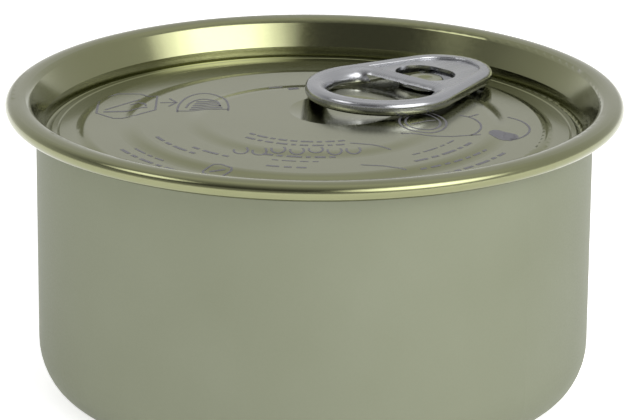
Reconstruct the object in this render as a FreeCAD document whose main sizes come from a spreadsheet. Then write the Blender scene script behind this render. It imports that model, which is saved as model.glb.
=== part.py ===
"""Food can: a drawn two-piece can with a full-opening end and a riveted ring pull.

Every size is a named cell of the sheet "dims", in millimetres or degrees.  The corners and
radii of each sketch are expressions of those cells, so a changed cell moves all that fits to it.
The can stands on z = 0 with its axis on Z, and the nose of the ring pull points along +Y.
"""
import FreeCAD, Part
import math
import os
import re

import Sketcher

DIMENSIONS = (
    # drawn body
    ("body_radius", 36.5, "outside of the straight wall"),
    ("overall_height", 39.5, "stand to the crest of the seam"),
    ("body_wall", 0.25, "sheet of the drawn body"),
    ("heel_upper_radius", 8.1, "gentle upper arc of the heel"),
    ("heel_lower_radius", 4.6, "tight lower arc of the heel"),
    ("heel_turn", 30.0, "degrees that the upper arc turns through"),
    ("stand_width", 1.8, "flat ring that the can stands on"),
    ("stand_slope", 3.2, "slope from the stand to the base panel, along the radius"),
    ("base_rise", 1.2, "base panel above the stand"),
    ("base_step_inset", 12.0, "plain ring of the base panel, up to its step"),
    ("base_step_width", 2.4, "slope of that step, along the radius"),
    ("base_step_rise", 0.4, "height of that step"),
    # seam
    ("flare_radius", 1.0, "turn from the wall out to the flange"),
    ("flange_sheet", 0.3, "flange of the body inside the seam"),
    ("rim_overhang", 4.0, "outermost edge of the seam beyond the wall"),
    ("bead_radius", 1.1, "rolled outer edge"),
    ("bead_cover", 1.2, "outermost edge of the seam beyond the flange"),
    ("hook_sheet", 0.2, "lip rolled in under the flange"),
    ("hook_length", 0.8, "reach of that lip"),
    ("crown_radius", 3.0, "crown of the seam between its two edges"),
    ("lip_radius", 1.05, "rounded inner edge of the seam"),
    ("lip_inset", 3.4, "outermost edge of the seam to the inner wall"),
    # end panel
    ("end_sheet", 0.25, "metal under the groove around the panel"),
    ("chuck_sheet", 0.25, "metal behind the sloping inner wall"),
    ("chuck_inset", 0.75, "wall of the body to the foot of the sloping inner wall"),
    ("chuck_depth", 3.75, "that foot below the crest"),
    ("groove_drop", 0.75, "bottom of the groove below the edge of the panel"),
    ("groove_draft", 0.15, "draft of the short wall between the foot and the groove"),
    ("groove_radius", 0.45, "section of the groove"),
    ("panel_depth", 4.85, "edge of the panel below the crest"),
    ("panel_edge_radius", 0.35, "rounded edge of the panel"),
    ("score_inset", 1.1, "edge of the panel to the tear line"),
    ("score_width", 0.3, "tear line, width of its cut"),
    ("score_depth", 0.1, "tear line, depth of its cut"),
    ("outer_step_inset", 2.2, "tear line to the outermost ring step"),
    ("outer_step_width", 1.6, "its slope, along the radius"),
    ("outer_step_rise", 0.5, "its height"),
    ("middle_step_inset", 3.9, "outermost ring step to the middle one"),
    ("middle_step_width", 2.8, "its slope, along the radius"),
    ("middle_step_rise", 0.5, "its height"),
    ("inner_step_inset", 5.9, "middle ring step to the innermost one"),
    ("inner_step_width", 3.0, "its slope, along the radius"),
    ("inner_step_rise", 0.25, "its height"),
    ("well_radius", 7.0, "finger well, half its width"),
    ("well_depth", 0.6, "finger well, depth in its middle"),
    # rivet
    ("rivet_inset", 11.3, "tear line to the rivet"),
    ("rivet_seat_radius", 2.2, "raised seat under the ring pull"),
    ("rivet_seat_rise", 0.1, "height of that seat"),
    ("rivet_shank_radius", 1.5, "shank of the rivet"),
    ("rivet_head_radius", 2.5, "button of the rivet"),
    ("rivet_head_height", 0.6, "thickness of the button"),
    ("rivet_head_round", 0.4, "rounded edge of the button"),
    ("dimple_radius", 1.1, "dimple in the button"),
    ("dimple_depth", 0.25, "depth of the dimple"),
    ("rivet_play", 0.06, "clearance between the rivet and the ring pull"),
    # ring pull
    ("ring_radius", 10.3, "outside of the ring"),
    ("ring_back", 8.9, "rivet to the middle of the ring"),
    ("nose_radius", 7.0, "outside of the nose"),
    ("nose_ahead", 3.2, "rivet to the middle of the nose"),
    ("tab_tilt", 1.1, "degrees that the ring stands up"),
    ("hem_height", 2.0, "curled edge, height"),
    ("hem_width", 1.8, "curled edge, width"),
    ("hem_side", 0.13, "straight part of its side, above and below the middle"),
    ("ring_width", 2.9, "ring around the finger hole"),
    ("hole_flat", 3.7, "middle of the ring to the straight side of the hole"),
    ("hole_corner", 1.8, "corners of that side"),
    ("hole_lip", 0.25, "lower edge of the hole, rounding"),
    ("hole_side", 0.15, "straight part of its side, below the edge that is rolled down"),
    ("plate_edge", 0.15, "flat strip between the hole's rolled edge and the sunk plate"),
    ("plate_drop", 0.35, "sunk plate below the crest of the hem"),
    ("plate_round", 0.25, "rounded edge of the hem above the sunk plate"),
    ("plate_sheet", 0.45, "top plate"),
    ("island_radius", 3.3, "round ends of the opening around the rivet"),
    ("island_spread", 1.0, "rivet to the middle of each round end"),
    ("slot_width", 0.45, "gap between that opening and the tongue"),
    ("tongue_sheet", 0.3, "tongue that the rivet holds"),
    ("neck_width", 4.4, "neck that joins the tongue to the plate"),
    ("neck_run", 1.6, "length of the sloping part of the neck"),
    ("beak_drop", 0.4, "ridge under the nose, height"),
    ("beak_start", 2.2, "middle of the nose to the ends of that ridge"),
)

# Places that follow from those sizes.  r is a distance from the can's axis, z a height above the
# stand.  From flank on, places are measured from the rivet and the underside of the ring pull.
FITS = (
    ("heel_drop", "heel_upper_radius - heel_lower_radius"),
    ("heel_z", "heel_lower_radius + heel_drop * sin(heel_turn)"),
    ("heel_turn_r", "body_radius - heel_upper_radius * (1 - cos(heel_turn))"),
    ("heel_turn_z", "heel_z - heel_upper_radius * sin(heel_turn)"),
    ("stand_r", "body_radius - heel_upper_radius + heel_drop * cos(heel_turn)"),
    ("stand_inner_r", "stand_r - stand_width"),
    ("base_edge_r", "stand_inner_r - stand_slope"),
    ("base_step_r", "base_edge_r - base_step_inset"),
    ("rim_r", "body_radius + rim_overhang"),
    ("bead_r", "rim_r - bead_radius"),
    ("lip_r", "rim_r - lip_inset + lip_radius"),
    ("crown_r", "(bead_r + lip_r) / 2"),
    ("crown_z", "overall_height - crown_radius"),
    ("crown_half", "(bead_r - lip_r) / 2"),
    ("bead_rise", "sqrt((crown_radius - bead_radius) ^ 2 - crown_half ^ 2)"),
    ("lip_rise", "sqrt((crown_radius - lip_radius) ^ 2 - crown_half ^ 2)"),
    ("bead_z", "crown_z + bead_rise"),
    ("lip_z", "crown_z + lip_rise"),
    ("bead_end_r", "crown_r + crown_half * crown_radius / (crown_radius - bead_radius)"),
    ("bead_end_z", "crown_z + bead_rise * crown_radius / (crown_radius - bead_radius)"),
    ("lip_start_r", "crown_r - crown_half * crown_radius / (crown_radius - lip_radius)"),
    ("lip_start_z", "crown_z + lip_rise * crown_radius / (crown_radius - lip_radius)"),
    ("flange_r", "rim_r - bead_cover"),
    ("hook_z", "bead_z - bead_radius"),
    ("flange_z", "hook_z + hook_sheet"),
    ("flange_top_z", "flange_z + flange_sheet"),
    ("wall_inner_r", "body_radius - body_wall"),
    ("foot_r", "body_radius - chuck_inset"),
    ("foot_z", "overall_height - chuck_depth"),
    ("foot_span", "sqrt((lip_r - foot_r) ^ 2 + (lip_z - foot_z) ^ 2)"),
    ("chuck_angle", "atan((lip_z - foot_z) / (lip_r - foot_r)) + asin(lip_radius / foot_span)"),
    ("chuck_length", "sqrt(foot_span ^ 2 - lip_radius ^ 2)"),
    ("chuck_top_r", "foot_r + chuck_length * cos(chuck_angle)"),
    ("chuck_top_z", "foot_z + chuck_length * sin(chuck_angle)"),
    ("seam_z", "foot_z + (wall_inner_r - chuck_sheet - foot_r) * tan(chuck_angle)"),
    ("seam_r", "foot_r + chuck_sheet + (flange_top_z - foot_z) / tan(chuck_angle)"),
    ("panel_z", "overall_height - panel_depth"),
    ("groove_z", "panel_z - groove_drop + groove_radius"),
    ("groove_outer_r", "foot_r - groove_draft"),
    ("panel_r", "groove_outer_r - 2 * groove_radius"),
    ("plug_z", "panel_z - groove_drop - end_sheet"),
    ("score_r", "panel_r - score_inset"),
    ("outer_step_r", "score_r - outer_step_inset"),
    ("outer_step_end", "outer_step_r - outer_step_width"),
    ("outer_zone_z", "panel_z + outer_step_rise"),
    ("middle_step_r", "outer_step_end - middle_step_inset"),
    ("middle_step_end", "middle_step_r - middle_step_width"),
    ("middle_zone_z", "outer_zone_z + middle_step_rise"),
    ("inner_step_r", "middle_step_end - inner_step_inset"),
    ("inner_step_end", "inner_step_r - inner_step_width"),
    ("centre_z", "middle_zone_z + inner_step_rise"),
    ("rivet_y", "score_r - rivet_inset"),
    ("seat_z", "middle_zone_z + rivet_seat_rise"),
    ("tilt_play", "rivet_play + rivet_head_radius * tan(tab_tilt)"),
    ("tab_z", "seat_z + tilt_play"),
    ("head_z", "tab_z + tongue_sheet + tilt_play"),
    ("head_top_z", "head_z + rivet_head_height"),
    ("well_y", "rivet_y - ring_back - ring_radius + well_radius / 3"),
    ("well_curve", "(well_radius ^ 2 + well_depth ^ 2) / (2 * well_depth)"),
    ("dimple_curve", "(dimple_radius ^ 2 + dimple_depth ^ 2) / (2 * dimple_depth)"),
    ("flank", "asin((ring_radius - nose_radius) / (ring_back + nose_ahead))"),
    ("flank_ring_x", "ring_radius * cos(flank)"),
    ("flank_ring_y", "ring_radius * sin(flank) - ring_back"),
    ("flank_nose_x", "nose_radius * cos(flank)"),
    ("flank_nose_y", "nose_radius * sin(flank) + nose_ahead"),
    ("hem_round", "hem_height / 2 - hem_side"),
    ("hole_radius", "ring_radius - ring_width"),
    ("hole_slope", "hem_height - hole_lip - hole_side"),
    ("hole_side_x", "sqrt(hole_radius ^ 2 - hole_flat ^ 2)"),
    ("hole_side_y", "hole_flat - ring_back"),
    ("plate_z", "hem_height - plate_drop"),
    ("hollow_z", "plate_z - plate_sheet"),
    ("inner_ring", "ring_radius - hem_width"),
    ("inner_nose", "nose_radius - hem_width"),
    ("plate_back_y", "hole_side_y + hole_slope + plate_edge"),
    ("plate_back_x", "inner_ring / cos(flank) - (plate_back_y + ring_back) * tan(flank)"),
    ("hollow_back_x", "inner_ring / cos(flank) - hole_flat * tan(flank)"),
    ("hollow_nose_x", "inner_nose * cos(flank)"),
    ("hollow_nose_y", "inner_nose * sin(flank) + nose_ahead"),
    ("tongue_radius", "island_radius - slot_width"),
    ("neck_y", "tongue_radius + neck_run"),
    ("beak_outer", "nose_radius - hem_width / 2"),
    ("beak_outer_x", "sqrt(beak_outer ^ 2 - beak_start ^ 2)"),
    ("beak_inner_x", "sqrt(inner_nose ^ 2 - beak_start ^ 2)"),
    ("beak_y", "nose_ahead + beak_start"),
)

doc = FreeCAD.newDocument("food_can")
DIMENSION_NAMES = {alias for alias, size, meaning in DIMENSIONS}
FIT_NAMES = {alias for alias, expression in FITS}
UP = FreeCAD.Vector(0, 20, 0)
SLACK = 0.01  # mm, by which two places may differ and still be the same


def qualify(expression):
    """Name the sheet of every cell in an expression."""
    def name_sheet(word):
        if word.group() in DIMENSION_NAMES:
            return f"dims.{word.group()}"
        if word.group() in FIT_NAMES:
            return f"fits.{word.group()}"
        return word.group()
    return re.sub(r"[a-z_]+", name_sheet, expression)


def add_sheet(name, rows):
    """Make a spreadsheet with a named cell for each row."""
    sheet = doc.addObject("Spreadsheet::Sheet", name)
    for number, (alias, content) in enumerate(rows, start=1):
        sheet.set(f"A{number}", alias)
        sheet.set(f"B{number}", content)
        sheet.setAlias(f"B{number}", alias)
    doc.recompute()
    return sheet


def value(expression):
    """What an expression of the sheets comes to, as a plain number."""
    result = dims.evalExpression(qualify(expression))
    return float(getattr(result, "Value", result))


def attached_sketch(body, name, plane):
    """An empty sketch on one of the body's own origin planes."""
    origin = [feature for feature in body.Origin.OriginFeatures if feature.Role == plane]
    sketch = body.newObject("Sketcher::SketchObject", name)
    sketch.AttachmentSupport = (origin[0], "")
    sketch.MapMode = "FlatFace"
    return sketch


def raise_sketch(sketch, height):
    """Lift a sketch off its plane by an expression."""
    sketch.AttachmentOffset = FreeCAD.Placement(FreeCAD.Vector(0, 0, value(height)),
                                                FreeCAD.Rotation())
    sketch.setExpression("AttachmentOffset.Base.z", qualify(height))


class Outline:
    """A closed sketch whose corners and radii are bound to expressions of the sheets."""

    def __init__(self, body, name, plane, x, y):
        self.sketch = attached_sketch(body, name, plane)
        self.first = (x, y)
        self.here = FreeCAD.Vector(value(x), value(y), 0)
        self.end = None
        self.start = None

    def bind(self, kind, place, expression):
        """Constrain one number of the sketch to an expression."""
        number = self.sketch.addConstraint(Sketcher.Constraint(kind, *place, value(expression)))
        self.sketch.setExpression(f"Constraints[{number}]", qualify(expression))

    def pin(self, vertex, x, y):
        """Fix a vertex at a place, on an axis where its coordinate is nought."""
        for kind, expression, axis in (("DistanceX", x, -2), ("DistanceY", y, -1)):
            if expression == "0":
                self.sketch.addConstraint(Sketcher.Constraint("PointOnObject", *vertex, axis))
            else:
                self.bind(kind, (-1, 1, *vertex), expression)

    def join(self, edge, start, end, x, y):
        """Put an edge at the end of the outline so far."""
        if self.end is None:
            self.start = (edge, start)
            self.pin(self.start, *self.first)
        else:
            self.sketch.addConstraint(Sketcher.Constraint("Coincident", *self.end, edge, start))
        self.end = (edge, end)
        if (x, y) == self.first:
            self.sketch.addConstraint(Sketcher.Constraint("Coincident", *self.end, *self.start))
        else:
            self.pin(self.end, x, y)

    def line(self, x, y):
        """Straight on to a corner."""
        there = FreeCAD.Vector(value(x), value(y), 0)
        edge = self.sketch.addGeometry(Part.LineSegment(self.here, there), False)
        self.join(edge, 1, 2, x, y)
        self.here = there

    def arc(self, turn, radius, x, y):
        """Round to a corner on an arc of less than half a turn, bending left or right."""
        there = FreeCAD.Vector(value(x), value(y), 0)
        chord = there - self.here
        side = 1 if turn == "left" else -1
        rise = math.sqrt(max(value(radius) ** 2 - (chord.Length / 2) ** 2, 0))
        square = FreeCAD.Vector(-chord.y, chord.x, 0).normalize()
        centre = self.here + chord / 2 + square * (side * rise)
        circle = Part.Circle(centre, FreeCAD.Vector(0, 0, 1), value(radius))
        start = math.atan2(self.here.y - centre.y, self.here.x - centre.x)
        end = math.atan2(there.y - centre.y, there.x - centre.x)
        if side < 0:
            start, end = end, start
        edge = self.sketch.addGeometry(Part.ArcOfCircle(circle, start, end), False)
        self.join(edge, *((1, 2) if side > 0 else (2, 1)), x, y)
        self.bind("Radius", (edge,), radius)
        self.here = there

    def ogee(self, turn, width, rise, middle, end):
        """Two equal arcs that leave and arrive level, as in a pressed step."""
        curve = f"({width} ^ 2 + {rise} ^ 2) / (4 * {rise})"
        self.arc(turn, curve, *middle)
        self.arc("right" if turn == "left" else "left", curve, *end)

    def close(self):
        """Straight back to the first corner."""
        self.line(*self.first)
        return self.sketch

    def axis(self, x):
        """An upright construction line to revolve about."""
        foot = FreeCAD.Vector(value(x), 0, 0)
        line = self.sketch.addGeometry(Part.LineSegment(foot, foot + UP), True)
        self.pin((line, 1), x, "0")
        self.sketch.addConstraint(Sketcher.Constraint("Vertical", line))
        self.sketch.addConstraint(Sketcher.Constraint("DistanceY", line, 1, line, 2, UP.y))


def revolve(body, kind, name, sketch, axis="V_Axis"):
    """A full turn of a sketch, added (Revolution) or taken away (Groove)."""
    feature = body.newObject(f"PartDesign::{kind}", name)
    feature.Profile = sketch
    feature.ReferenceAxis = (sketch, [axis])
    feature.Angle = 360
    doc.recompute()
    return feature


def extrude(body, kind, name, sketch, length, reverse=False, both=False):
    """A sketch made into a pad or a pocket as long as an expression says."""
    feature = body.newObject(f"PartDesign::{kind}", name)
    feature.Profile = sketch
    feature.setExpression("Length", qualify(length))
    feature.Reversed = reverse
    feature.Midplane = both
    doc.recompute()
    return feature


def fillet(body, name, radius, base, wanted):
    """Round the edges of a feature that a test picks out."""
    feature = body.newObject("PartDesign::Fillet", name)
    edges = [f"Edge{n}" for n, edge in enumerate(base.Shape.Edges, start=1) if wanted(edge)]
    feature.Base = (base, edges)
    feature.setExpression("Radius", qualify(radius))
    doc.recompute()
    return feature


def make_body():
    """The drawn can: heel, stand, recessed base, wall and flange, closed up to the end panel."""
    body = doc.addObject("PartDesign::Body", "can_body")
    wall = Outline(body, "body_profile", "XZ_Plane", "0", "base_rise + base_step_rise")
    wall.line("base_step_r - base_step_width", "base_rise + base_step_rise")
    wall.ogee("right", "base_step_width", "base_step_rise",
              ("base_step_r - base_step_width / 2", "base_rise + base_step_rise / 2"),
              ("base_step_r", "base_rise"))
    wall.line("base_edge_r", "base_rise")
    wall.ogee("right", "stand_slope", "base_rise",
              ("base_edge_r + stand_slope / 2", "base_rise / 2"), ("stand_inner_r", "0"))
    wall.line("stand_r", "0")
    wall.arc("left", "heel_lower_radius", "heel_turn_r", "heel_turn_z")
    wall.arc("left", "heel_upper_radius", "body_radius", "heel_z")
    wall.line("body_radius", "flange_z - flare_radius")
    wall.arc("right", "flare_radius", "body_radius + flare_radius", "flange_z")
    wall.line("flange_r", "flange_z")
    wall.line("flange_r", "flange_top_z")
    wall.line("seam_r", "flange_top_z")
    wall.line("wall_inner_r", "seam_z")
    wall.line("wall_inner_r", "plug_z")
    wall.line("0", "plug_z")
    revolve(body, "Revolution", "body_turned", wall.close())
    return body


def make_end():
    """The end: double seam, sloping wall, groove, stepped panel, finger well and rivet."""
    body = doc.addObject("PartDesign::Body", "can_end")
    end = Outline(body, "end_profile", "XZ_Plane", "0", "plug_z")
    end.line("wall_inner_r", "plug_z")
    end.line("wall_inner_r", "seam_z")
    end.line("seam_r", "flange_top_z")
    end.line("flange_r", "flange_top_z")
    end.line("flange_r", "flange_z")
    end.line("flange_r - hook_length", "flange_z")
    end.line("flange_r - hook_length", "hook_z")
    end.line("bead_r", "hook_z")
    end.arc("left", "bead_radius", "bead_end_r", "bead_end_z")
    end.arc("left", "crown_radius", "lip_start_r", "lip_start_z")
    end.arc("left", "lip_radius", "chuck_top_r", "chuck_top_z")
    end.line("foot_r", "foot_z")
    end.line("groove_outer_r", "groove_z")
    end.arc("right", "groove_radius", "groove_outer_r - groove_radius", "groove_z - groove_radius")
    end.arc("right", "groove_radius", "panel_r", "groove_z")
    end.line("panel_r", "panel_z - panel_edge_radius")
    end.arc("left", "panel_edge_radius", "panel_r - panel_edge_radius", "panel_z")
    end.line("score_r + score_width / 2", "panel_z")
    end.line("score_r", "panel_z - score_depth")
    end.line("score_r - score_width / 2", "panel_z")
    zone = "panel_z"
    for step, top in (("outer", "outer_zone_z"), ("middle", "middle_zone_z"), ("inner", "centre_z")):
        width = f"{step}_step_width"
        rise = f"{step}_step_rise"
        end.line(f"{step}_step_r", zone)
        end.ogee("right", width, rise, (f"{step}_step_r - {width} / 2", f"{zone} + {rise} / 2"),
                 (f"{step}_step_end", top))
        zone = top
    end.line("0", "centre_z")
    revolve(body, "Revolution", "end_turned", end.close())
    press_finger_well(body)
    form_rivet(body)
    return body


def press_finger_well(body):
    """A shallow dish under the ring, so that a fingertip gets below it."""
    well = Outline(body, "well_profile", "YZ_Plane", "well_y", "centre_z - well_depth")
    well.arc("left", "well_curve", "well_y + well_radius", "centre_z")
    well.line("well_y + well_radius", "overall_height")
    well.line("well_y", "overall_height")
    sketch = well.close()
    well.axis("well_y")
    revolve(body, "Groove", "finger_well", sketch, "Axis0")


def form_rivet(body):
    """The rivet drawn up out of the panel: seat, shank and a dimpled button."""
    rivet = Outline(body, "rivet_profile", "YZ_Plane", "rivet_y", "plug_z")
    rivet.line("rivet_y + rivet_seat_radius", "plug_z")
    rivet.line("rivet_y + rivet_seat_radius", "seat_z")
    rivet.line("rivet_y + rivet_shank_radius", "seat_z")
    rivet.line("rivet_y + rivet_shank_radius", "head_z")
    rivet.line("rivet_y + rivet_head_radius", "head_z")
    rivet.line("rivet_y + rivet_head_radius", "head_top_z - rivet_head_round")
    rivet.arc("left", "rivet_head_round", "rivet_y + rivet_head_radius - rivet_head_round",
              "head_top_z")
    rivet.line("rivet_y + dimple_radius", "head_top_z")
    rivet.arc("right", "dimple_curve", "rivet_y", "head_top_z - dimple_depth")
    sketch = rivet.close()
    rivet.axis("rivet_y")
    revolve(body, "Revolution", "rivet", sketch, "Axis0")


def round_ended(body, name, radius, spread):
    """A sketch of two half circles joined by straight sides, across the ring pull."""
    shape = Outline(body, name, "XY_Plane", spread, f"-{radius}")
    shape.arc("left", radius, f"{spread} + {radius}", "0")
    shape.arc("left", radius, spread, radius)
    shape.line(f"-{spread}", radius)
    shape.arc("left", radius, f"-{spread} - {radius}", "0")
    shape.arc("left", radius, f"-{spread}", f"-{radius}")
    return shape.close()


def pear(body, name):
    """The sketch of the ring pull's edge: a wide ring end and a narrower nose."""
    edge = Outline(body, name, "XY_Plane", "0", "-ring_back - ring_radius")
    edge.arc("left", "ring_radius", "flank_ring_x", "flank_ring_y")
    edge.line("flank_nose_x", "flank_nose_y")
    edge.arc("left", "nose_radius", "0", "nose_ahead + nose_radius")
    edge.arc("left", "nose_radius", "-flank_nose_x", "flank_nose_y")
    edge.line("-flank_ring_x", "flank_ring_y")
    edge.arc("left", "ring_radius", "0", "-ring_back - ring_radius")
    return edge.sketch


def inside_nose(body, name, back_x, back_y):
    """A sketch of the field inside the hem, from a straight side at the back to the nose."""
    field = Outline(body, name, "XY_Plane", f"-{back_x}", back_y)
    field.line(back_x, back_y)
    field.line("hollow_nose_x", "hollow_nose_y")
    field.arc("left", "nose_radius - hem_width", "0", "nose_ahead + nose_radius - hem_width")
    field.arc("left", "nose_radius - hem_width", "-hollow_nose_x", "hollow_nose_y")
    return field.close()


def finger_hole(body):
    """The sketch of the hole: round towards the ring end, straight towards the rivet."""
    hole = Outline(body, "hole_outline", "XY_Plane", "0", "-ring_back - hole_radius")
    hole.arc("left", "hole_radius", "hole_side_x", "hole_side_y")
    hole.line("-hole_side_x", "hole_side_y")
    hole.arc("left", "hole_radius", "0", "-ring_back - hole_radius")
    return hole.sketch


def level(edge):
    """Whether an edge lies level."""
    return edge.BoundBox.ZLength < SLACK


def between(box, half_width, back, front):
    """Whether a bounding box lies within a rectangle about the middle line of the ring pull."""
    wide = max(box.XMax, -box.XMin) < half_width + SLACK
    return wide and box.YMin > back - SLACK and box.YMax < front + SLACK


def round_hole(body, name, radius):
    """The sketch of a round hole about the rivet."""
    sketch = attached_sketch(body, name, "XY_Plane")
    circle = Part.Circle(FreeCAD.Vector(), FreeCAD.Vector(0, 0, 1), value(radius))
    edge = sketch.addGeometry(circle, False)
    sketch.addConstraint(Sketcher.Constraint("Coincident", edge, 3, -1, 1))
    number = sketch.addConstraint(Sketcher.Constraint("Radius", edge, value(radius)))
    sketch.setExpression(f"Constraints[{number}]", qualify(radius))
    return sketch


def hem_tab(body):
    """The curled edge all round, and the finger hole with its edge rolled down."""
    blank = extrude(body, "Pad", "tab_blank", pear(body, "tab_outline"), "hem_height")
    fillet(body, "hem", "hem_round", blank, level)
    hole = extrude(body, "Pocket", "finger_hole", finger_hole(body), "hem_height", reverse=True)
    rim = (value("hole_radius"), value("-ring_back - hole_radius"), value("hole_side_y"))
    middle = value("hem_height / 2")

    def corner(edge):
        return between(edge.BoundBox, *rim) and not level(edge)

    def top(edge):
        return between(edge.BoundBox, *rim) and level(edge) and edge.CenterOfMass.z > middle

    def bottom(edge):
        return between(edge.BoundBox, *rim) and level(edge) and edge.CenterOfMass.z < middle

    corners = fillet(body, "hole_corners", "hole_corner", hole, corner)
    rolled = fillet(body, "hole_roll", "hole_slope", corners, top)
    fillet(body, "hole_lip", "hole_lip", rolled, bottom)


def form_plate(body):
    """The plate inside the nose: sunk at the top, hollow below as far as the finger hole."""
    field = inside_nose(body, "plate_outline", "plate_back_x", "plate_back_y")
    raise_sketch(field, "hem_height")
    sunk = extrude(body, "Pocket", "plate_top", field, "plate_drop")
    rim = (value("plate_back_x"), value("plate_back_y"), value("nose_ahead + inner_nose"))
    crest = value("hem_height") - SLACK

    def brink(edge):
        return between(edge.BoundBox, *rim) and level(edge) and edge.CenterOfMass.z > crest

    fillet(body, "plate_brink", "plate_round", sunk, brink)
    hollow = inside_nose(body, "hollow_outline", "hollow_back_x", "hole_side_y")
    extrude(body, "Pocket", "plate_hollow", hollow, "hollow_z", reverse=True)


def form_tongue(body):
    """The opening around the rivet, and the tongue that hangs in it from a sloping neck."""
    island = round_ended(body, "island_outline", "island_radius", "island_spread")
    extrude(body, "Pocket", "island", island, "hem_height", reverse=True)
    neck = Outline(body, "neck_profile", "YZ_Plane", "rivet_shank_radius", "0")
    neck.line("tongue_radius", "0")
    neck.line("neck_y", "hollow_z")
    neck.line("neck_y", "plate_z")
    neck.line("tongue_radius", "tongue_sheet")
    neck.line("rivet_shank_radius", "tongue_sheet")
    extrude(body, "Pad", "neck", neck.close(), "neck_width", both=True)
    tongue = round_ended(body, "tongue_outline", "tongue_radius", "island_spread")
    extrude(body, "Pad", "tongue", tongue, "tongue_sheet")
    hole = round_hole(body, "rivet_hole_outline", "rivet_shank_radius + rivet_play")
    extrude(body, "Pocket", "rivet_hole", hole, "hem_height", reverse=True)


def form_beak(body):
    """The ridge under the nose that bears on the tear line when the ring is lifted."""
    beak = Outline(body, "beak_outline", "XY_Plane", "beak_outer_x", "beak_y")
    beak.arc("left", "beak_outer", "0", "nose_ahead + beak_outer")
    beak.arc("left", "beak_outer", "-beak_outer_x", "beak_y")
    beak.line("-beak_inner_x", "beak_y")
    beak.arc("right", "inner_nose", "0", "nose_ahead + inner_nose")
    beak.arc("right", "inner_nose", "beak_inner_x", "beak_y")
    extrude(body, "Pad", "beak", beak.close(), "beak_drop", reverse=True)


def make_tab():
    """The ring pull, held at its tongue by the rivet, with the ring end tilted up."""
    body = doc.addObject("PartDesign::Body", "pull_tab")
    hem_tab(body)
    form_plate(body)
    form_tongue(body)
    form_beak(body)
    tilt = FreeCAD.Rotation(FreeCAD.Vector(-1, 0, 0), value("tab_tilt"))
    body.Placement = FreeCAD.Placement(FreeCAD.Vector(0, value("rivet_y"), value("tab_z")), tilt)
    body.setExpression("Placement.Base.y", qualify("rivet_y"))
    body.setExpression("Placement.Base.z", qualify("tab_z"))
    body.setExpression("Placement.Rotation.Angle", qualify("tab_tilt"))
    return body


def check(node):
    """Stop unless a piece is one sound solid."""
    shape = node.Shape
    if shape.isNull() or not shape.isValid() or len(shape.Solids) != 1:
        raise RuntimeError(f"{node.Label} is not one valid solid")
    print(f"{node.Label}: {shape.Volume:.1f} mm3, {len(shape.Faces)} faces, {shape.BoundBox}")


dims = add_sheet("dims", [(alias, str(size)) for alias, size, meaning in DIMENSIONS])
add_sheet("fits", [(alias, f"={qualify(expression)}") for alias, expression in FITS])
nodes = [make_body(), make_end(), make_tab()]
doc.recompute()

for item in doc.Objects:
    if "Invalid" in item.State or "Error" in item.State:
        raise RuntimeError(f"{item.Label} did not compute: {item.State}")

os.makedirs("parts", exist_ok=True)
for node in nodes:
    check(node)
    node.Shape.exportStep(f"parts/{node.Label}.step")
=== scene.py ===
"""Looks of the food can: lacquered body, glossy printed end, bright ring pull, and the studio."""

import math

import bmesh
import bpy
from mathutils import Matrix, Vector
from mathutils.bvhtree import BVHTree


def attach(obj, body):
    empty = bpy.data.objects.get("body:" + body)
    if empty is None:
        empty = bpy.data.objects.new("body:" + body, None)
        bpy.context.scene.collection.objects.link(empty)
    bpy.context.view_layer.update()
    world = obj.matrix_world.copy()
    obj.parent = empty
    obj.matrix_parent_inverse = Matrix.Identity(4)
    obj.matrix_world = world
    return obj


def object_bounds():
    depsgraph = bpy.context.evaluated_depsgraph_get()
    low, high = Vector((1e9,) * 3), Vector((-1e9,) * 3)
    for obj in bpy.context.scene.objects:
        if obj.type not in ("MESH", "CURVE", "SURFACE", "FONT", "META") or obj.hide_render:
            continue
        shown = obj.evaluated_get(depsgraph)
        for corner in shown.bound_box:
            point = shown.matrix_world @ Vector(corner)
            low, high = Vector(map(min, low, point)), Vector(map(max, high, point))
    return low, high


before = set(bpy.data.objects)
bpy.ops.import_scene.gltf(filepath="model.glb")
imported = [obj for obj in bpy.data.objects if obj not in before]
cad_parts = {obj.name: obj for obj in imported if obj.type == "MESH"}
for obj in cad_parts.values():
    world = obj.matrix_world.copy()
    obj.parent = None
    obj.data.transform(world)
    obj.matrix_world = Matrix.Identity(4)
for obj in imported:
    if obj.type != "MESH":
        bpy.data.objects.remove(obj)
cad_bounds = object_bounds()

MM = 0.001
BODY = "root"
LOW, HIGH = (Vector(corner) for corner in cad_bounds)
CREST_Z = HIGH.z

# ---------------------------------------------------------------- view

VIEW_AZIMUTH = math.radians(42)
RIGHT = Vector((math.cos(VIEW_AZIMUTH), math.sin(VIEW_AZIMUTH), 0))
AWAY = Vector((-math.sin(VIEW_AZIMUTH), math.cos(VIEW_AZIMUTH), 0))
UP = Vector((0, 0, 1))



def studio(right, away, up):
    """A place given from the can's axis as the viewer sees it, in metres."""
    return RIGHT * right + AWAY * away + UP * up


CAMERA_RIGHT = 0.15
CAMERA_BACK = 475.1
CAMERA_ABOVE_CREST = 138.6
CAMERA_PITCH = math.radians(18.05)
CAMERA_ROLL = math.radians(0.45)


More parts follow.
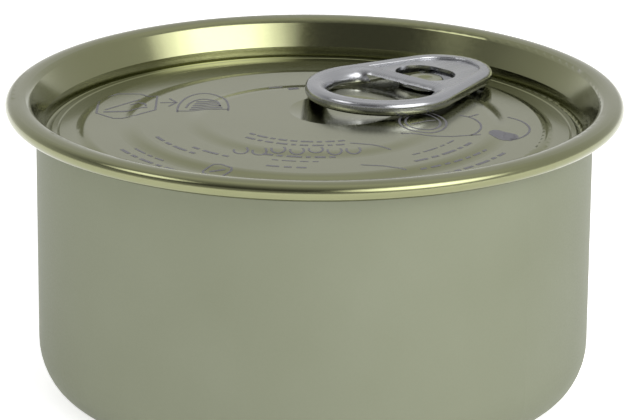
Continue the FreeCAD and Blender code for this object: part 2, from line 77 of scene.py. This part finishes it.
def add_camera():
    """A long lens, a little above the can."""
    place = studio(CAMERA_RIGHT * MM, -CAMERA_BACK * MM, CREST_Z + CAMERA_ABOVE_CREST * MM)
    ahead = AWAY * math.cos(CAMERA_PITCH) - UP * math.sin(CAMERA_PITCH)
    level_up = AWAY * math.sin(CAMERA_PITCH) + UP * math.cos(CAMERA_PITCH)
    side = RIGHT * math.cos(CAMERA_ROLL) + level_up * math.sin(CAMERA_ROLL)
    top = level_up * math.cos(CAMERA_ROLL) - RIGHT * math.sin(CAMERA_ROLL)
    turn = Matrix((side, top, -ahead)).transposed().to_4x4()
    data = bpy.data.cameras.new("camera")
    data.lens = 215.8
    data.sensor_width = 36
    data.clip_start = 0.01
    camera = bpy.data.objects.new("camera", data)
    camera.matrix_world = Matrix.Translation(place) @ turn
    bpy.context.scene.collection.objects.link(camera)
    bpy.context.scene.camera = camera


# ---------------------------------------------------------------- materials

class Nodes:
    """A material's node tree, with short calls to add and join nodes."""

    def __init__(self, name):
        self.material = bpy.data.materials.new(name)
        self.material.use_nodes = True
        self.tree = self.material.node_tree
        self.shader = self.tree.nodes["Principled BSDF"]

    def add(self, kind, inputs=None, **settings):
        """A node with its settings; inputs are plain values or other nodes' outputs."""
        node = self.tree.nodes.new(kind)
        for key, setting in settings.items():
            setattr(node, key, setting)
        for key, given in (inputs or {}).items():
            self.feed(node.inputs[key], given)
        return node

    def feed(self, socket, given):
        """Give a socket a value, or join an output to it."""
        if isinstance(given, bpy.types.NodeSocket):
            self.tree.links.new(given, socket)
        else:
            socket.default_value = given

    def set(self, **inputs):
        """Feed the shader's own sockets, named with underscores for spaces."""
        for key, given in inputs.items():
            self.feed(self.shader.inputs[key.replace("_", " ")], given)

    def noise(self, scale, detail=3.0, stretch=(1, 1, 1)):
        """Noise in the object's own coordinates, scale in turns per metre."""
        place = self.add("ShaderNodeTexCoord").outputs["Object"]
        spread = self.add("ShaderNodeMapping", {"Vector": place, "Scale": stretch})
        noise = self.add("ShaderNodeTexNoise", {"Vector": spread.outputs["Vector"],
                                                "Scale": scale, "Detail": detail})
        return noise.outputs["Fac"]

    def ramp(self, noise, low, high):
        """The middle of a noise's span, moved to another span."""
        ramp = self.add("ShaderNodeMapRange", {"Value": noise, "From Min": 0.3, "From Max": 0.7,
                                               "To Min": low, "To Max": high})
        return ramp.outputs["Result"]

    def blend(self, factor, first, second):
        """A colour between two others."""
        mix = self.add("ShaderNodeMix", data_type="RGBA")
        self.feed(mix.inputs[0], factor)
        self.feed(mix.inputs[6], first)
        self.feed(mix.inputs[7], second)
        return mix.outputs[2]

    def bump(self, height, strength, depth):
        """A bumped normal, depth in mm."""
        bump = self.add("ShaderNodeBump", {"Height": height, "Strength": strength,
                                           "Distance": depth * MM})
        return bump.outputs["Normal"]


def colour(red, green, blue):
    """A colour given as 0 to 255 on screen, in the linear numbers that shaders take."""
    def linear(level):
        level = level / 255
        return level / 12.92 if level <= 0.04045 else ((level + 0.055) / 1.055) ** 2.4
    return (linear(red), linear(green), linear(blue), 1.0)


def body_lacquer():
    """Satin grey-green lacquer with a fine metallic grain."""
    paint = Nodes("body_lacquer")
    cloud = paint.noise(60, 2)
    grain = paint.noise(4200, 2)
    tint = paint.blend(paint.ramp(cloud, 0, 1), colour(136, 140, 118), colour(140, 144, 123))
    paint.set(Base_Color=tint, Metallic=0.55, Specular_Tint=(0.6, 0.6, 0.6, 1),
              Roughness=paint.ramp(grain, 0.42, 0.50),
              Normal=paint.bump(grain, 0.06, 0.02))
    return paint.material


def end_lacquer():
    """Glossy lacquer with a pale gold-olive tint over bright metal, under a thin clear coat."""
    lid = Nodes("end_lacquer")
    cloud = lid.noise(90, 2)
    grain = lid.noise(2600, 2)
    tint = lid.blend(lid.ramp(cloud, 0, 1), colour(135, 137, 100), colour(139, 141, 105))
    lid.set(Base_Color=tint, Metallic=1.0,
            Roughness=lid.ramp(grain, 0.15, 0.19),
            Coat_Weight=0.45, Coat_Roughness=0.12,
            Normal=lid.bump(lid.noise(140, 2), 0.06, 0.02))
    return lid.material


def tab_metal():
    """Bright rolled aluminium."""
    tab = Nodes("tab_metal")
    lines = tab.noise(900, 3, stretch=(1, 0.08, 1))
    tab.set(Base_Color=colour(178, 179, 182), Metallic=1.0,
            Roughness=tab.ramp(lines, 0.18, 0.32),
            Normal=tab.bump(lines, 0.15, 0.02))
    return tab.material


def ink_and_shade():
    """Thin grey printing ink, a little uneven; also the grey of two blots of painted shade."""
    ink_and_shade_paint = Nodes("ink_and_shade")
    wear = ink_and_shade_paint.noise(1800, 2)
    tint = ink_and_shade_paint.blend(ink_and_shade_paint.ramp(wear, 0, 1),
                           colour(98, 97, 102), colour(114, 113, 117))
    ink_and_shade_paint.set(Base_Color=tint, Roughness=ink_and_shade_paint.ramp(wear, 0.35, 0.5),
                  Normal=ink_and_shade_paint.bump(wear, 0.1, 0.01))
    return ink_and_shade_paint.material


def dress(node, material):
    """Give a CAD piece its material."""
    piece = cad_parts[node]
    piece.data.materials.clear()
    piece.data.materials.append(material)


# ---------------------------------------------------------------- print on the lid

PRINT_LIFT = 0.015  # ink above the lid, in mm
PRINT_STEP = 0.5    # between two places where a stroke is laid on the lid
PRINT_AWAY = 1.2    # the print's middle, away from the can's axis
FINE = 0.3
BOLD = 0.5
HATCH = 0.45
# width of the two dark blots of painted shade, in mm
SHADE_BLOT = 0.9
WORDS = (2.1, 1.2, 2.6, 0.9, 1.6)
WORD_GAP = 0.7


class PrintAndShade:
    """Thin strokes laid on the lid, printed ink and two blots of painted shade, planned in mm
    from the can's axis.
    """

    def __init__(self):
        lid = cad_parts["can_end"]
        self.lid = BVHTree.FromObject(lid, bpy.context.evaluated_depsgraph_get())
        self.mesh = bmesh.new()

    def drop(self, right, away):
        """The point of the lid under a place given in mm to the viewer's right and away."""
        above = studio(right * MM, (away + PRINT_AWAY) * MM, CREST_Z + 0.01)
        place, _, _, _ = self.lid.ray_cast(above, -UP)
        return place + UP * PRINT_LIFT * MM

    def stroke(self, points, width, closed=False):
        """A ribbon of one width along a line of points."""
        ends = points[1:] + points[:1] if closed else points[1:]
        path = []
        for (x0, y0), (x1, y1) in zip(points, ends):
            count = max(1, round(math.hypot(x1 - x0, y1 - y0) / PRINT_STEP))
            path += [(x0 + (x1 - x0) * i / count, y0 + (y1 - y0) * i / count)
                     for i in range(count)]
        if not closed:
            path.append(points[-1])
        rows = []
        last = len(path) - 1
        for i, (x, y) in enumerate(path):
            before = path[i - 1] if i or closed else path[i]
            after = path[(i + 1) % len(path)] if i < last or closed else path[i]
            along = Vector((after[0] - before[0], after[1] - before[1])).normalized()
            half_x, half_y = -along.y * width / 2, along.x * width / 2
            rows.append([self.mesh.verts.new(self.drop(x + side * half_x, y + side * half_y))
                         for side in (-1, 1)])
        if closed:
            rows.append(rows[0])
        for (a, b), (c, d) in zip(rows, rows[1:]):
            self.mesh.faces.new((a, c, d, b))

    def arc(self, centre, radius, start, end, width, squash=1.0):
        """Part of a circle, or of an ellipse, between two angles in degrees."""
        count = max(6, round(abs(end - start) / 12))
        whole = abs(end - start) >= 360
        angles = [math.radians(start + (end - start) * i / count)
                  for i in range(count if whole else count + 1)]
        self.stroke([(centre[0] + radius * math.cos(t), centre[1] + radius * squash * math.sin(t))
                     for t in angles], width, whole)

    def box(self, centre, across, along, corner, width):
        """The outline of a box with cut corners."""
        x, y = across / 2, along / 2
        outline = [(-x + corner, -y), (x - corner, -y), (x, -y + corner), (x, y - corner),
                   (x - corner, y), (-x + corner, y), (-x, y - corner), (-x, -y + corner)]
        self.stroke([(centre[0] + a, centre[1] + b) for a, b in outline], width, True)

    def dashes(self, radius, start, end, lengths, gap, width):
        """A row of dashes round the lid, with the lengths taken in turn, in mm."""
        at = math.radians(start)
        turn = 0
        while True:
            to = at + lengths[turn % len(lengths)] / radius
            if to > math.radians(end):
                break
            self.arc((0, 0), radius, math.degrees(at), math.degrees(to), width)
            at = to + gap / radius
            turn += 1

    def finish(self, name):
        """The strokes as one piece."""
        bmesh.ops.recalc_face_normals(self.mesh, faces=self.mesh.faces)
        if sum(face.normal.z for face in self.mesh.faces) < 0:
            bmesh.ops.reverse_faces(self.mesh, faces=self.mesh.faces)
        data = bpy.data.meshes.new(name)
        self.mesh.to_mesh(data)
        self.mesh.free()
        data.materials.append(ink_and_shade())
        piece = bpy.data.objects.new(name, data)
        bpy.context.scene.collection.objects.link(piece)
        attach(piece, BODY)


def add_print_and_shade():
    """Generic printed marks: a sign at the left and right and rows of dashes; and two dark blots
    of painted shade.
    """
    marks = PrintAndShade()
    # left sign: a box with a lid lifted along an arrow, an arrow, and a striped dome
    marks.box((-25.0, 6.4), 7.8, 11.5, 2.4, FINE)
    marks.stroke([(-28.0, 3.6), (-22.2, 4.2)], BOLD)
    marks.stroke([(-27.8, 4.6), (-23.4, 9.6)], FINE)
    marks.arc((-26.4, 4.4), 4.0, 5, 45, FINE, 1.2)
    marks.stroke([(-24.6, 7.0), (-23.5, 7.8), (-22.8, 6.2)], FINE)
    marks.stroke([(-20.6, 6.4), (-18.5, 6.6)], FINE)
    marks.stroke([(-19.4, 8.4), (-18.4, 6.6), (-19.4, 4.8)], FINE)
    marks.arc((-14.8, 3.2), 3.4, -8, 188, FINE, 2.3)
    marks.arc((-14.8, 3.2), 2.3, 10, 170, FINE, 2.2)
    marks.stroke([(-18.2, 2.6), (-11.4, 2.8)], FINE)
    for row in range(5):
        inset, rise = 0.2 * row, 0.9 * row
        marks.stroke([(-16.6 + inset, 3.4 + rise), (-12.2 - inset, 3.5 + rise)], HATCH)
    # rows of dashes, left
    marks.dashes(22.3, -156, -133, WORDS, WORD_GAP, BOLD)
    marks.dashes(20.6, -139, -122, WORDS[1:], WORD_GAP, BOLD)
    marks.dashes(26.3, -151, -131, WORDS[2:], WORD_GAP, FINE)
    marks.dashes(28.0, -152, -127, WORDS, WORD_GAP, BOLD)
    marks.box((-12.2, -22.6), 3.6, 3.6, 1.4, FINE)
    marks.stroke([(-13.2, -22.6), (-11.2, -22.6)], FINE)
    # middle
    marks.dashes(11.6, -136, -62, (0.9, 1.6, 0.7, 1.2), 0.45, BOLD)
    marks.dashes(13.2, -132, -66, (1.5, 0.6, 1.1), 0.5, BOLD)
    for leaf in range(7):
        marks.arc((-9.4 + 2.4 * leaf, -14.9 - 0.5 * (leaf % 2)), 0.9, 160, 400, FINE, 1.5)
    marks.dashes(17.6, -112, -76, (1.4, 0.8, 2.0, 0.6), 0.5, BOLD)
    marks.dashes(19.4, -106, -84, (0.8, 1.8, 1.1), 0.5, FINE)
    marks.dashes(22.0, -106, -90, (1.7, 1.0, 1.3), 0.6, BOLD)
    marks.stroke([(4.6, -12.0), (7.4, -12.7), (9.8, -14.1)], FINE)
    marks.stroke([(5.9, -20.6), (8.8, -21.0), (11.6, -22.2)], FINE)
    # right sign: a can from above, a bent arrow, a filled spot and a guard line
    for size in (3.1, 2.3):
        marks.arc((14.2, -2.2), size, 0, 360, FINE, 1.5)
    marks.stroke([(12.6, -3.4), (15.9, -1.0)], FINE)
    marks.arc((17.6, -3.2), 4.2, -50, 50, FINE, 1.3)
    marks.stroke([(19.2, 1.6), (20.3, 0.9), (21.6, 2.2)], FINE)
    marks.stroke([(11.2, -7.6), (17.8, -8.0), (21.6, -7.0)], FINE)
    for ring in range(4):
        marks.arc((24.6, -6.2), 0.35 + 0.45 * ring, 0, 360, BOLD, 0.9)
    marks.arc((22.6, -2.6), 5.6, -62, 58, FINE, 1.1)
    # rows of dashes, right
    marks.dashes(20.4, -52, -26, WORDS[1:], WORD_GAP, FINE)
    marks.dashes(22.8, -56, -24, WORDS, WORD_GAP, BOLD)
    marks.dashes(25.4, -58, -25, WORDS[3:], WORD_GAP, FINE)
    marks.dashes(27.8, -57, -28, WORDS[2:], WORD_GAP, BOLD)
    # two dark blots behind the middle: painted shade on the far side of the inner panel step,
    # drawn in the ink's grey
    marks.stroke([(-6.2, 13.6), (-4.4, 14.0)], SHADE_BLOT)
    marks.stroke([(-3.6, 12.6), (-2.2, 13.0)], SHADE_BLOT)
    marks.finish("lid_print_and_shade")


# ---------------------------------------------------------------- studio

FLOOR_SIZE = 6
FLOOR_GAP = 0.02
FLOOR_GLOW = 0.65
WORLD_HORIZON = 1.0
WORLD_MIDDLE = 0.66
WORLD_FRONT_LOW = 0.40
WORLD_FRONT_HIGH = 0.10
WORLD_OVERHEAD = 0.22
BRIGHT_SIDE = math.radians(28)
SOFT_LAYERS = 4
SOFT_EDGE = 0.6
SOFT_SPACING = 0.01
LAMP_AIM = Vector((0, 0, 0.02))


def floor_material():
    """White to the eye and in reflections, and still darkened by shadow."""
    floor = Nodes("floor")
    light = floor.add("ShaderNodeLightPath").outputs
    seen = floor.add("ShaderNodeMath", {0: light["Is Camera Ray"], 1: light["Is Glossy Ray"]},
                     operation="MAXIMUM")
    seen = floor.add("ShaderNodeMath", {0: seen.outputs[0], 1: light["Is Transmission Ray"]},
                     operation="MAXIMUM")
    glow = floor.add("ShaderNodeMath", {0: seen.outputs[0], 1: FLOOR_GLOW},
                     operation="MULTIPLY")
    floor.set(Base_Color=(0.92, 0.92, 0.92, 1), Roughness=1.0,
              Emission_Color=(1, 1, 1, 1), Emission_Strength=glow.outputs[0])
    return floor.material


def add_floor():
    """A plain pale floor."""
    bpy.ops.mesh.primitive_plane_add(size=FLOOR_SIZE, location=(0, 0, LOW.z - FLOOR_GAP * MM))
    floor = bpy.context.object
    floor.name = "floor"
    floor.data.materials.append(floor_material())


def add_world():
    """White round the horizon, dimmer above, and dimmest high at the viewer's back and left."""
    world = bpy.data.worlds.new("world")
    bpy.context.scene.world = world
    world.use_nodes = True
    nodes = world.node_tree.nodes
    links = world.node_tree.links
    place = nodes.new("ShaderNodeTexCoord").outputs["Generated"]

    def fade(source, start, end, low, high):
        """A smooth step between two strengths, each a number or another fade."""
        node = nodes.new("ShaderNodeMapRange")
        node.interpolation_type = "SMOOTHSTEP"
        node.inputs["From Min"].default_value = start
        node.inputs["From Max"].default_value = end
        for name, given in (("To Min", low), ("To Max", high)):
            if isinstance(given, bpy.types.NodeSocket):
                links.new(given, node.inputs[name])
            else:
                node.inputs[name].default_value = given
        links.new(source, node.inputs["Value"])
        return node.outputs[0]

    split = nodes.new("ShaderNodeSeparateXYZ")
    links.new(place, split.inputs[0])
    along = nodes.new("ShaderNodeVectorMath")
    along.operation = "DOT_PRODUCT"
    links.new(place, along.inputs[0])
    along.inputs[1].default_value = AWAY * math.cos(BRIGHT_SIDE) + RIGHT * math.sin(BRIGHT_SIDE)
    across, rise = along.outputs["Value"], split.outputs["Z"]
    low = fade(across, -0.6, 0.4, WORLD_FRONT_LOW, WORLD_MIDDLE)
    high = fade(across, -0.6, 0.4, WORLD_FRONT_HIGH, WORLD_MIDDLE)
    upward = fade(rise, 0.0, 0.17, WORLD_HORIZON, fade(rise, 0.34, 0.5, low, high))
    total = nodes.new("ShaderNodeMath")
    links.new(upward, total.inputs[0])
    links.new(fade(rise, 0.65, 0.95, 0.0, WORLD_OVERHEAD), total.inputs[1])
    links.new(total.outputs[0], nodes["Background"].inputs["Strength"])
    nodes["Background"].inputs["Color"].default_value = (1, 1, 1, 1)


def add_softbox(name, place, sides, radiance):
    """A soft light that faces the can, in layers so that it is brightest in its middle."""
    aim = LAMP_AIM - place
    for layer in range(SOFT_LAYERS):
        share = 1 - SOFT_EDGE * layer / (SOFT_LAYERS - 1)
        data = bpy.data.lights.new(f"{name}_{layer}", "AREA")
        data.shape = "ELLIPSE"
        data.size, data.size_y = (side * share for side in sides)
        area = math.pi / 4 * data.size * data.size_y
        data.energy = math.pi * area * radiance / SOFT_LAYERS
        lamp = bpy.data.objects.new(data.name, data)
        lamp.location = place + aim * SOFT_SPACING * layer
        lamp.rotation_euler = aim.to_track_quat("-Z", "Y").to_euler()
        bpy.context.scene.collection.objects.link(lamp)


def add_lights():
    """A key from the front right and a smaller light from the left."""
    add_softbox("key", studio(0.70, -0.73, 0.70), (1.4, 1.0), 5.0)
    add_softbox("left", studio(-0.84, -0.24, 0.84), (0.75, 0.55), 3.0)


def main():
    """Dress the frame and set the studio."""
    scene = bpy.context.scene
    scene.view_settings.view_transform = "Standard"
    dress("can_body", body_lacquer())
    dress("can_end", end_lacquer())
    dress("pull_tab", tab_metal())
    add_print_and_shade()
    add_floor()
    add_world()
    add_lights()
    add_camera()


main()
